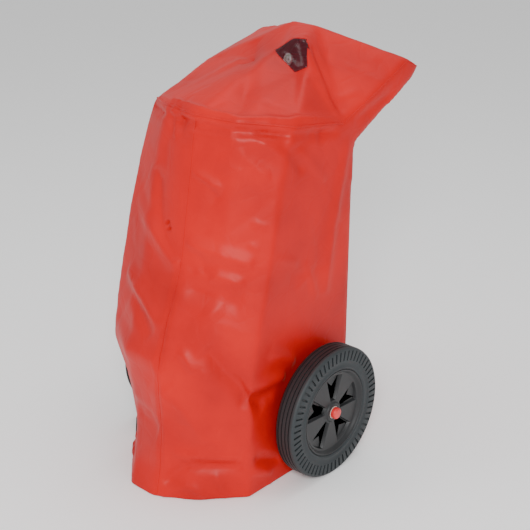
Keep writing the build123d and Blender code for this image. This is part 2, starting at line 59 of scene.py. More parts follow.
def addNode(material, kind, values=None, links=None, **settings):
    # one shader node: settings are its own options, values its numbers, links (node, output)
    node = material.node_tree.nodes.new("ShaderNode" + kind)
    for name, value in settings.items():
        setattr(node, name, value)
    for socket, value in (values or {}).items():
        node.inputs[socket].default_value = value
    for socket, (source, output) in (links or {}).items():
        material.node_tree.links.new(source.outputs[output], node.inputs[socket])
    return node


def meshObject(name, bm, material, body):
    # closes a bmesh into an object that rides on a body
    mesh = bpy.data.meshes.new(name)
    bm.to_mesh(mesh)
    bm.free()
    for face in mesh.polygons:
        face.use_smooth = True
    mesh.materials.append(material)
    piece = bpy.data.objects.new(name, mesh)
    bpy.context.scene.collection.objects.link(piece)
    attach(piece, body)
    return piece


def applyModifiers(piece):
    # bakes the modifiers into a fresh mesh
    graph = bpy.context.evaluated_depsgraph_get()
    mesh = bpy.data.meshes.new_from_object(piece.evaluated_get(graph))
    piece.modifiers.clear()
    piece.data = mesh
    return piece


def boxOf(node):
    low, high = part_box(node)
    return Vector(low), Vector(high)


# plain finishes, each a colour drift with its own gloss range and grain
# driftMm: width of the slow colour change; grainMm and grainDepthMm: the fine surface
looks = {
    # gloss stoved enamel on steel: deep red with a faint orange peel
    "stovedEnamel": dict(slots=["red_enamel"], light="B5201A", dark="A01A15", rough=(0.12, 0.2),
                         driftMm=160, grainMm=7, grainDepthMm=0.05, coat=0.5),
    # turned mild steel: fine rings and a soft shine
    "turnedSteel": dict(slots=["neck_steel"], light="B9B7B2", dark="8E8C88", rough=(0.25, 0.4), metal=1.0,
                        driftMm=12, grainMm=1.5, grainDepthMm=0.05),
    # black powder coat on tube: even satin with a fine pebble
    "powderCoat": dict(slots=["frame_coat"], light="2B2C2E", dark="202123", rough=(0.38, 0.5),
                       driftMm=90, grainMm=2.2, grainDepthMm=0.12),
    # rolled steel strap, bare: grey with rolling streaks
    "rolledSteel": dict(slots=["strap_steel"], light="A8A9A8", dark="7E8081", rough=(0.3, 0.45), metal=1.0,
                        driftMm=30, grainMm=3, grainDepthMm=0.06),
    # zinc plated steel: cool grey, mottled shine
    "zincPlate": dict(slots=["zinc_steel"], light="C2C4C3", dark="9A9EA0", rough=(0.22, 0.42), metal=1.0,
                      driftMm=9, grainMm=2, grainDepthMm=0.05),
    # machined brass: warm yellow, slightly dulled in patches
    "machinedBrass": dict(slots=["brass"], light="D2A24C", dark="A87C35", rough=(0.2, 0.38), metal=1.0,
                          driftMm=14, grainMm=1.6, grainDepthMm=0.05),
    # extruded polyethylene: milky white, waxy
    "extrudedPolyethylene": dict(slots=["siphon_plastic"], light="E2E1DA", dark="D6D5CC", rough=(0.4, 0.5),
                                 driftMm=60, grainMm=5, grainDepthMm=0.04),
    # epoxy painted lever steel: black with a light pebble
    "paintedLever": dict(slots=["lever_coat"], light="1E1E1F", dark="161617", rough=(0.35, 0.46),
                         driftMm=40, grainMm=1.8, grainDepthMm=0.1),
    # chromed pressing: bright, faintly wavy
    "chromedSteel": dict(slots=["gauge_case"], light="D8D9DA", dark="C4C6C8", rough=(0.08, 0.16), metal=1.0,
                         driftMm=20, grainMm=9, grainDepthMm=0.03),
    # printed tinplate pointer: flat black
    "printedPointer": dict(slots=["gauge_pointer"], light="151515", dark="101010", rough=(0.5, 0.6),
                           driftMm=10, grainMm=2, grainDepthMm=0.02),
    # moulded rubber: dull black with a fine open grain
    "mouldedRubber": dict(slots=["black_rubber"], light="232324", dark="19191A", rough=(0.62, 0.78),
                          driftMm=35, grainMm=1.6, grainDepthMm=0.15),
    # injection moulded polypropylene: black, low sheen, sparked grain
    "mouldedPolypropylene": dict(slots=["black_plastic"], light="1D1E20", dark="131416", rough=(0.36, 0.5),
                                 driftMm=45, grainMm=2.0, grainDepthMm=0.12),
    # cast nylon: off white, dry
    "castNylon": dict(slots=["bush_nylon"], light="DAD8CC", dark="CDCABC", rough=(0.45, 0.55),
                      driftMm=25, grainMm=2, grainDepthMm=0.05),
    # moulded polyethylene cap: bright red, soft gloss
    "mouldedCap": dict(slots=["red_cap"], light="E23434", dark="CC2A2B", rough=(0.25, 0.36),
                       driftMm=14, grainMm=2, grainDepthMm=0.05),
}


def makeFinish(name, look):
    # slow colour drift, mottled gloss, and a bump at the grain's real size
    material = bpy.data.materials.new(name)
    material.use_nodes = True
    shader = material.node_tree.nodes["Principled BSDF"]
    shader.inputs["Metallic"].default_value = look.get("metal", 0.0)
    shader.inputs["Coat Weight"].default_value = look.get("coat", 0.0)
    shader.inputs["Coat Roughness"].default_value = 0.08
    place = addNode(material, "TexCoord")
    drift = addNode(material, "TexNoise", {"Scale": 1000 / look["driftMm"], "Detail": 4.0},
                    {"Vector": (place, "Object")})
    ramp = addNode(material, "ValToRGB", links={"Fac": (drift, "Fac")})
    ramp.color_ramp.elements[0].position = 0.35
    ramp.color_ramp.elements[0].color = hexLinear(look["dark"])
    ramp.color_ramp.elements[1].position = 0.68
    ramp.color_ramp.elements[1].color = hexLinear(look["light"])
    low, high = look["rough"]
    gloss = addNode(material, "MapRange", {"From Min": 0.3, "From Max": 0.7, "To Min": low, "To Max": high},
                    {"Value": (drift, "Fac")})
    grain = addNode(material, "TexNoise", {"Scale": 1000 / look["grainMm"], "Detail": 2.0},
                    {"Vector": (place, "Object")})
    bump = addNode(material, "Bump", {"Strength": 0.6, "Distance": look["grainDepthMm"] * mm},
                   {"Height": (grain, "Fac")})
    links = material.node_tree.links
    links.new(ramp.outputs["Color"], shader.inputs["Base Color"])
    links.new(gloss.outputs["Result"], shader.inputs["Roughness"])
    links.new(bump.outputs["Normal"], shader.inputs["Normal"])
    return material


def coatedPvc():
    # calendered PVC on polyester scrim: satin red, faint creases, a soft drift in shade
    look = dict(main="C00602", lit="CE0B05", worn="AC0401", driftMm=170, wanderMm=90, creaseMm=46,
                creaseDepthMm=1.4, grainMm=3.2, grainDepthMm=0.10)
    material = bpy.data.materials.new("calenderedPvcCloth")
    material.use_nodes = True
    shader = material.node_tree.nodes["Principled BSDF"]
    place = addNode(material, "TexCoord")
    drift = addNode(material, "TexNoise", {"Scale": 1000 / look["driftMm"], "Detail": 5.0},
                    {"Vector": (place, "Object")})
    ramp = addNode(material, "ValToRGB", links={"Fac": (drift, "Fac")})
    ramp.color_ramp.elements[0].position = 0.3
    ramp.color_ramp.elements[0].color = hexLinear(look["worn"])
    ramp.color_ramp.elements[1].position = 0.75
    ramp.color_ramp.elements[1].color = hexLinear(look["lit"])
    middle = ramp.color_ramp.elements.new(0.52)
    middle.color = hexLinear(look["main"])
    gloss = addNode(material, "MapRange",
                    {"From Min": 0.3, "From Max": 0.7, "To Min": 0.42, "To Max": 0.52},
                    {"Value": (drift, "Fac")})
    shader.inputs["Specular IOR Level"].default_value = 0.25
    # faint handling creases: thin lines between cells, bent by noise so that none is straight
    wander = addNode(material, "TexNoise", {"Scale": 1000 / look["wanderMm"], "Detail": 2.0},
                     {"Vector": (place, "Object")})
    bent = addNode(material, "MixRGB", {"Fac": 0.06},
                   {"Color1": (place, "Object"), "Color2": (wander, "Color")})
    cells = addNode(material, "TexVoronoi", {"Scale": 1000 / look["creaseMm"]}, {"Vector": (bent, "Color")},
                    feature="DISTANCE_TO_EDGE")
    lines = addNode(material, "MapRange", {"From Max": 0.12}, {"Value": (cells, "Distance")})
    # the scrim's imprint is under a millimetre; it is drawn coarser so that it shows
    grain = addNode(material, "TexNoise", {"Scale": 1000 / look["grainMm"], "Detail": 2.0},
                    {"Vector": (place, "Object")})
    creases = addNode(material, "Bump", {"Strength": 0.16, "Distance": look["creaseDepthMm"] * mm},
                      {"Height": (lines, "Result")})
    surface = addNode(material, "Bump", {"Strength": 0.5, "Distance": look["grainDepthMm"] * mm},
                      {"Height": (grain, "Fac"), "Normal": (creases, "Normal")})
    links = material.node_tree.links
    links.new(ramp.outputs["Color"], shader.inputs["Base Color"])
    links.new(gloss.outputs["Result"], shader.inputs["Roughness"])
    links.new(surface.outputs["Normal"], shader.inputs["Normal"])
    return material


def clearPvc():
    # pressed clear vinyl tinted dark maroon: the colour is partly the film's tint and partly painted shade
    # of the dim inside; slightly wavy shine
    material = bpy.data.materials.new("tintedVinylFilmPaintedShade")
    material.use_nodes = True
    shader = material.node_tree.nodes["Principled BSDF"]
    # dark maroon at 0.3 alpha: the film's tint plus painted shade standing in for the dim inside behind it
    shader.inputs["Base Color"].default_value = hexLinear("5A0A1C")
    shader.inputs["Roughness"].default_value = 0.12
    shader.inputs["IOR"].default_value = 1.53
    shader.inputs["Alpha"].default_value = 0.3
    place = addNode(material, "TexCoord")
    wave = addNode(material, "TexNoise", {"Scale": 1000 / 22, "Detail": 2.0}, {"Vector": (place, "Object")})
    bump = addNode(material, "Bump", {"Strength": 0.5, "Distance": 0.4 * mm}, {"Height": (wave, "Fac")})
    material.node_tree.links.new(bump.outputs["Normal"], shader.inputs["Normal"])
    return material


def tyreRubber(name, side):
    # vulcanised rubber: blue grey dusty sidewall, browner darker tread, dull
    look = dict(wall="252B2E", wallDark="1D2225", tread="1C1618", dustMm=38, grainMm=2.4, grainDepthMm=0.2)
    low, high = boxOf(name)
    material = bpy.data.materials.new("vulcanisedRubber_" + name)
    material.use_nodes = True
    shader = material.node_tree.nodes["Principled BSDF"]
    place = addNode(material, "TexCoord")
    centre = addNode(material, "Mapping", {"Location": tuple(-(low + high) / 2)},
                     {"Vector": (place, "Object")})
    dust = addNode(material, "TexNoise", {"Scale": 1000 / look["dustMm"], "Detail": 6.0},
                   {"Vector": (centre, "Vector")})
    wall = addNode(material, "ValToRGB", links={"Fac": (dust, "Fac")})
    wall.color_ramp.elements[0].position = 0.35
    wall.color_ramp.elements[0].color = hexLinear(look["wallDark"])
    wall.color_ramp.elements[1].position = 0.65
    wall.color_ramp.elements[1].color = hexLinear(look["wall"])
    # the tread starts a little inside the shoulder, all round the wheel
    across = addNode(material, "SeparateXYZ", links={"Vector": (centre, "Vector")})
    outwards = addNode(material, "Math", {1: side}, {0: (across, "X")}, operation="MULTIPLY")
    half = (high.x - low.x) / 2
    face = addNode(material, "MapRange", {"From Min": half - 8 * mm, "From Max": half - 3 * mm},
                   {"Value": (outwards, "Value")})
    colour = addNode(material, "MixRGB", {"Color1": hexLinear(look["tread"])},
                     {"Fac": (face, "Result"), "Color2": (wall, "Color")})
    gloss = addNode(material, "MapRange", {"From Min": 0.3, "From Max": 0.7, "To Min": 0.5, "To Max": 0.68},
                    {"Value": (dust, "Fac")})
    grain = addNode(material, "TexNoise", {"Scale": 1000 / look["grainMm"], "Detail": 3.0},
                    {"Vector": (centre, "Vector")})
    bump = addNode(material, "Bump", {"Strength": 0.5, "Distance": look["grainDepthMm"] * mm},
                   {"Height": (grain, "Fac")})
    links = material.node_tree.links
    links.new(colour.outputs["Color"], shader.inputs["Base Color"])
    links.new(gloss.outputs["Result"], shader.inputs["Roughness"])
    links.new(bump.outputs["Normal"], shader.inputs["Normal"])
    return material


def gaugeFace():
    # printed card: white with a green working arc and a red arc round the edge
    low, high = boxOf("gauge_dial")
    centre = (low + high) / 2
    radius = (high.x - low.x) / 2
    material = bpy.data.materials.new("printedDialCard")
    material.use_nodes = True
    shader = material.node_tree.nodes["Principled BSDF"]
    shader.inputs["Roughness"].default_value = 0.55
    place = addNode(material, "TexCoord")
    local = addNode(material, "Mapping", {"Location": tuple(-centre)}, {"Vector": (place, "Object")})
    parts = addNode(material, "SeparateXYZ", links={"Vector": (local, "Vector")})
    flat = addNode(material, "CombineXYZ", links={"X": (parts, "X"), "Y": (parts, "Z")})
    reach = addNode(material, "VectorMath", links={0: (flat, "Vector")}, operation="LENGTH")
    turn = addNode(material, "TexGradient", links={"Vector": (flat, "Vector")}, gradient_type="RADIAL")
    zone = addNode(material, "ValToRGB", links={"Fac": (turn, "Fac")})
    zone.color_ramp.interpolation = "CONSTANT"
    zone.color_ramp.elements[0].color = hexLinear("C8382F")
    zone.color_ramp.elements[1].position = 0.62
    zone.color_ramp.elements[1].color = hexLinear("2F8A4A")
    band = addNode(material, "Math", {1: radius * 0.6}, {0: (reach, "Value")}, operation="GREATER_THAN")
    rim = addNode(material, "Math", {1: radius * 0.85}, {0: (reach, "Value")}, operation="LESS_THAN")
    both = addNode(material, "Math", links={0: (band, "Value"), 1: (rim, "Value")}, operation="MULTIPLY")
    colour = addNode(material, "MixRGB", {"Color1": hexLinear("F2F1EC")},
                     {"Fac": (both, "Value"), "Color2": (zone, "Color")})
    material.node_tree.links.new(colour.outputs["Color"], shader.inputs["Base Color"])
    return material


def gaugeGlass():
    # moulded polycarbonate lens: clear, bright reflection
    material = bpy.data.materials.new("mouldedPolycarbonate")
    material.use_nodes = True
    shader = material.node_tree.nodes["Principled BSDF"]
    shader.inputs["Base Color"].default_value = hexLinear("F4F7F7")
    shader.inputs["Roughness"].default_value = 0.05
    shader.inputs["IOR"].default_value = 1.58
    shader.inputs["Alpha"].default_value = 0.15
    return material


finishes = {}
for lookName, look in looks.items():
    for slotName in look["slots"]:
        finishes[slotName] = makeFinish(lookName, look)
finishes["cover_pvc"] = coatedPvc()
finishes["clear_pvc"] = clearPvc()
finishes["gauge_face"] = gaugeFace()
finishes["gauge_glass"] = gaugeGlass()
tyreFinish = {"left": tyreRubber("left_tyre", -1), "right": tyreRubber("right_tyre", 1)}
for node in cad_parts.values():
    node.data.materials[0] = finishes.get(node.data.materials[0].name, finishes["black_rubber"])
print("materials made:", len(finishes) + 2)


def spunRing(points, centre, side, steps, closed=True):
    # outline of (outwards, radius) points in mm, turned about the axle
    bm = bmesh.new()
    verts = [bm.verts.new(centre + Vector((side * a, 0, r)) * mm) for a, r in points]
    last = len(verts) if closed else len(verts) - 1
    edges = [bm.edges.new((verts[i], verts[(i + 1) % len(verts)])) for i in range(last)]
    bmesh.ops.spin(bm, geom=verts + edges, cent=centre, axis=(1, 0, 0), angle=math.tau,
                   steps=steps, use_merge=True)
    bmesh.ops.remove_doubles(bm, verts=bm.verts, dist=0.01 * mm)
    bmesh.ops.recalc_face_normals(bm, faces=bm.faces)
    return bm


def markSharp(bm, degrees):
    for edge in bm.edges:
        edge.smooth = len(edge.link_faces) < 2 or edge.calc_face_angle(0) < math.radians(degrees)


def turnOf(point, centre):
    # angle round the axle, as a share of a full turn
    return (math.atan2(point.z - centre.z, point.y - centre.y) / math.tau) % 1


tyre = dict(segments=180, slotEvery=3, slotInset=0.45, slotDepth=3.2, slotBand=(121, 143.5),
            grooves=(14, 5), grooveHalf=1.5, grooveDepth=2.2)


def tyreOutline(radius, seat, half):
    # half the section from the rim seat over the sidewall to the middle of the tread, then mirrored
    low, high = tyre["slotBand"]
    wall = [(half - 4.5, seat), (half - 2.6, seat + 1.2), (half - 1.0, seat + 3.5), (half - 0.8, seat + 6)]
    wall += [(half - 2.4, seat + 8.5), (half - 2.4, low - 4), (half - 0.7, low - 1.5), (half - 0.4, low)]
    wall += [(half - 0.4, high), (half - 1.4, radius - 4),
             (half - 3.6, radius - 1.6), (half - 6.5, radius - 0.4)]
    for middle in tyre["grooves"]:
        edge = tyre["grooveHalf"]
        wall += [(middle + edge, radius), (middle + edge - 0.3, radius - tyre["grooveDepth"])]
        wall += [(middle - edge + 0.3, radius - tyre["grooveDepth"]), (middle - edge, radius)]
    return wall + [(-a, r) for a, r in reversed(wall)]


def makeTyre(name, side):
    low, high = boxOf(name + "_tyre")
    centre = (low + high) / 2
    radius, half = (high.z - low.z) / 2 / mm, (high.x - low.x) / 2 / mm
    hubLow, hubHigh = boxOf(name + "_hub")
    seat = (hubHigh.z - hubLow.z) / 2 / mm
    bm = spunRing(tyreOutline(radius, seat, half), centre, side, tyre["segments"])
    slots = []
    for face in bm.faces:
        middle = face.calc_center_median()
        reach = math.hypot(middle.y - centre.y, middle.z - centre.z) / mm
        inBand = tyre["slotBand"][0] < reach < tyre["slotBand"][1]
        step = int(turnOf(middle, centre) * tyre["segments"])
        if inBand and abs(face.normal.x) > 0.9 and step % tyre["slotEvery"] == 0:
            slots.append(face)
    bmesh.ops.inset_individual(bm, faces=slots, thickness=tyre["slotInset"] * mm,
                               depth=-tyre["slotDepth"] * mm)
    markSharp(bm, 50)
    piece = meshObject(name + "TyreRubber", bm, tyreFinish[name], name + "_wheel")
    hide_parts(name + "_tyre")


hub = dict(segments=150, spokes=5, pocketShare=0.5, pocketRing=(27, 86), pocketDepth=7, wallSlope=1.6,
           face=14.5, rimIn=92, boss=22.5, web=4, turn=0.06)


def makeHub(name, side):
    low, high = boxOf(name + "_hub")
    bushLow, bushHigh = boxOf(name + "_bush")
    tyreLow, tyreHigh = boxOf(name + "_tyre")
    centre = (tyreLow + tyreHigh) / 2
    seat = (high.z - low.z) / 2 / mm
    half = (tyreHigh.x - tyreLow.x) / 2 / mm
    bore = (bushHigh.z - bushLow.z) / 2 / mm
    face, boss, rimIn, web = hub["face"], hub["boss"], hub["rimIn"], hub["web"]
    inRing, outRing = hub["pocketRing"]
    outline = [(1 - half, bore), (1 - half, boss - 1), (2 - half, boss), (web, boss), (web, rimIn)]
    outline += [(5 - half, rimIn), (4 - half, rimIn + 1), (4 - half, seat), (half - 4, seat)]
    outline += [(half - 2.6, seat - 1), (half - 2.6, seat - 3),
                (half - 4, seat - 4.5), (half - 6, rimIn + 1.5)]
    outline += [(face + 1.5, rimIn - 0.5), (face, rimIn - 2.5), (face, outRing), (face, inRing)]
    outline += [(face, boss + 3), (face + 1.5, boss + 0.6), (half - 8, boss), (half - 6.8, boss - 0.8)]
    outline += [(half - 6, boss - 2.5), (half - 6, bore)]
    bm = spunRing(outline, centre, side, hub["segments"])
    pockets = []
    for flat in bm.faces:
        middle = flat.calc_center_median()
        reach = math.hypot(middle.y - centre.y, middle.z - centre.z) / mm
        outside = side * (middle.x - centre.x) / mm > face - 1
        share = (turnOf(middle, centre) * side * hub["spokes"] + hub["turn"]) % 1
        if inRing < reach < outRing and outside and share < hub["pocketShare"]:
            pockets.append(flat)
    bmesh.ops.inset_region(bm, faces=pockets, thickness=hub["wallSlope"] * mm,
                           depth=-hub["pocketDepth"] * mm, use_even_offset=True)
    edges = [e for e in bm.edges if e.calc_face_angle(0) > math.radians(35)]
    bmesh.ops.bevel(bm, geom=edges, offset=0.7 * mm, affect="EDGES", segments=2, profile=0.5, material=-1)
    markSharp(bm, 60)
    piece = meshObject(name + "MouldedHub", bm, finishes["black_plastic"], name + "_wheel")
    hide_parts(name + "_hub")


def makeAxleCap(name, side):
    low, high = boxOf(name + "_axle_cap")
    centre = (low + high) / 2
    radius, half = (high.z - low.z) / 2 / mm, (high.x - low.x) / 2 / mm
    axleLow, axleHigh = boxOf("axle")
    shaft = (axleHigh.z - axleLow.z) / 2 / mm
    outline = [(-half, shaft), (-half, radius), (half - 4, radius), (half - 1.6, radius - 1.2)]
    outline += [(half - 0.5, radius - 3), (half, radius - 6), (half, 0.0)]
    outline += [(half - 3, 0.0), (half - 3, shaft)]
    bm = spunRing(outline, centre, side, 48, closed=True)
    markSharp(bm, 50)
    piece = meshObject(name + "AxleCapCover", bm, finishes["red_cap"], "trolley")
    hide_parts(name + "_axle_cap")


for name, side in (("left", -1), ("right", 1)):
    makeTyre(name, side)
    makeHub(name, side)
    makeAxleCap(name, side)
print("wheels made")


# the weather cover, from its outer corners in millimetres
# each column runs up the cover from below the hem to the top seam, in mm
cover = dict(
    hem=1.5,
    voxel=6.5,
    smooth=5,
    cloth=1.0,
    levels=(0, 0.05, 0.11, 0.2, 0.29, 0.39, 0.5, 0.61, 0.73, 0.85, 0.93, 1),
    columns=dict(
        nose=[(20, -337, -40), (22, -336, 0), (25, -314, 60), (25, -307, 140), (25, -307, 310),
              (25, -276, 400),
              (25, -236, 500), (25, -217, 600), (25, -198, 690), (25, -190, 750), (25, -181, 820)],
        bowRight=[(104, -290, -40), (104, -288, 0), (108, -268, 140), (110, -264, 315), (110, -202, 500),
                  (110, -170, 680), (114, -156, 814)],
        cornerRight=[(183, -202, -40), (183, -200, 0), (189, -205, 140), (189, -192, 315), (189, -142, 500),
                     (188, -105, 680), (190, -66, 797)],
        sideRight=[(186, 10, -40), (186, 10, 200), (190, 30, 400), (192, 60, 600), (200, 84, 776)],
        rearRight=[(187, 125, -40), (187, 125, 0), (190, 125, 315), (194, 125, 600), (197, 125, 722)],
        rearLeft=[(-187, 125, -40), (-187, 125, 0), (-190, 125, 315), (-194, 125, 600), (-197, 125, 722)],
        sideLeft=[(-186, 10, -40), (-186, 10, 200), (-190, 30, 400), (-192, 60, 600), (-200, 84, 776)],
        cornerLeft=[(-150, -205, -40), (-150, -210, 0), (-166, -200, 60), (-178, -192, 140),
                    (-188, -215, 230), (-196, -236, 300), (-189, -202, 461), (-186, -168, 608),
                    (-185, -118, 736), (-183, -90, 799)],
        bowLeft=[(-52, -335, -40), (-50, -333, 0), (-62, -303, 60), (-75, -278, 140), (-85, -290, 300),
                 (-85, -240, 461), (-85, -209, 608), (-80, -182, 736), (-72, -166, 812)],
    ),
    # the hood's own corners, above the top seam
    hood=dict(
        gaugeLeft=(12, 84, 902), gaugeFront=(82, 70, 869), gaugeRight=(102, 72, 882),
        gaugeHighRight=(80, 90, 933), gaugeHigh=(50, 88, 930),
        leverLeft=(-22, 180, 944), leverRight=(38, 180, 944),
        hoodLeft=(-190, 84, 854), barLeft=(-205, 288, 891), tipLeft=(-205, 337, 870), ridge=(0, 297, 901),
        barRight=(205, 297, 875), tipRight=(205, 341, 852),
        lowRight=(205, 320, 828), lowLeft=(-205, 320, 828),
    ),
    hoodFaces=(
        "sideLeft cornerLeft hoodLeft", "cornerLeft bowLeft gaugeLeft hoodLeft", "bowLeft nose gaugeLeft",
        "nose gaugeFront gaugeLeft", "nose bowRight gaugeFront", "bowRight cornerRight gaugeFront",
        "cornerRight gaugeRight gaugeFront", "cornerRight sideRight gaugeRight",
        "sideRight gaugeHighRight gaugeRight", "sideRight leverRight gaugeHighRight",
        "sideRight barRight ridge leverRight", "gaugeHigh gaugeHighRight leverRight leverLeft",
        "gaugeHigh leverLeft hoodLeft gaugeLeft", "leverLeft leverRight ridge", "leverLeft ridge barLeft",
        "hoodLeft leverLeft barLeft", "barLeft sideLeft hoodLeft", "barRight tipRight ridge",
        "tipRight tipLeft ridge", "tipLeft barLeft ridge", "gaugeLeft gaugeFront gaugeRight gaugeHigh",
        "gaugeHigh gaugeRight gaugeHighRight", "rearRight lowRight barRight sideRight",
        "lowRight tipRight barRight", "sideLeft barLeft lowLeft rearLeft", "barLeft tipLeft lowLeft",
        "rearRight rearLeft lowLeft lowRight", "lowRight lowLeft tipLeft tipRight",
    ),
)


def alongColumn(points, share):
    # point at a share of the column's height
    z = points[0][2] + share * (points[-1][2] - points[0][2])
    for low, high in zip(points, points[1:]):
        if z <= high[2] + 1e-6:
            part = (z - low[2]) / (high[2] - low[2])
            return Vector(low).lerp(Vector(high), part)
    return Vector(points[-1])


def coverForm():
    # closed form of the cover: rings of columns bridged upwards, then the hood's facets
    bm = bmesh.new()
    rings = []
    for share in cover["levels"]:
        ring = [bm.verts.new(alongColumn(c, share) * mm) for c in cover["columns"].values()]
        edges = [bm.edges.new((ring[i], ring[(i + 1) % len(ring)])) for i in range(len(ring))]
        rings.append(edges)
    top = dict(zip(cover["columns"], ring))
    for low, high in zip(rings, rings[1:]):
        bmesh.ops.bridge_loops(bm, edges=low + high)
    bmesh.ops.contextual_create(bm, geom=rings[0])
    for name, point in cover["hood"].items():
        top[name] = bm.verts.new(Vector(point) * mm)
    for names in cover["hoodFaces"]:
        bm.faces.new([top[name] for name in names.split()])
    bmesh.ops.triangulate(bm, faces=bm.faces)
    bmesh.ops.recalc_face_normals(bm, faces=bm.faces)
    return bm


def fineCloth():
    # the form remeshed into small even faces, its ridges eased as cloth eases over them
    mesh = bpy.data.meshes.new("coverForm")
    bm = coverForm()
    bm.to_mesh(mesh)
    bm.free()
    holder = bpy.data.objects.new("coverForm", mesh)
    bpy.context.scene.collection.objects.link(holder)
    remesh = holder.modifiers.new("voxels", "REMESH")
    remesh.mode = "VOXEL"
    remesh.voxel_size = cover["voxel"] * mm
    applyModifiers(holder)
    bm = bmesh.new()
    bm.from_mesh(holder.data)
    bpy.data.objects.remove(holder)
    for _ in range(cover["smooth"]):
        bmesh.ops.smooth_vert(bm, verts=bm.verts, factor=0.5,
                              use_axis_x=True, use_axis_y=True, use_axis_z=True)
    return bm


def cutOpen(bm):
    # the hem's level cut, and the two notches that let the cover pass over the axle
    bmesh.ops.bisect_plane(bm, geom=bm.verts[:] + bm.edges[:] + bm.faces[:],
                           plane_co=(0, 0, cover["hem"] * mm),
                           plane_no=(0, 0, -1), clear_outer=True)
    notchHalf, notchTop = 22 * mm, 176 * mm
    notchCuts = (((0, -notchHalf, 0), (0, 1, 0)), ((0, notchHalf, 0), (0, 1, 0)),
                 ((0, 0, notchTop), (0, 0, 1)))
    for point, normal in notchCuts:
        near = [f for f in bm.faces if abs(f.calc_center_median().y) < 3 * notchHalf
                and f.calc_center_median().z < notchTop + 2 * notchHalf]
        geom = set(near) | {e for f in near for e in f.edges} | {v for f in near for v in f.verts}
        bmesh.ops.bisect_plane(bm, geom=list(geom), plane_co=point, plane_no=normal)
    inside = [f for f in bm.faces if abs(f.calc_center_median().y) < notchHalf
              and f.calc_center_median().z < notchTop and abs(f.calc_center_median().x) > 100 * mm]
    bmesh.ops.delete(bm, geom=inside, context="FACES")


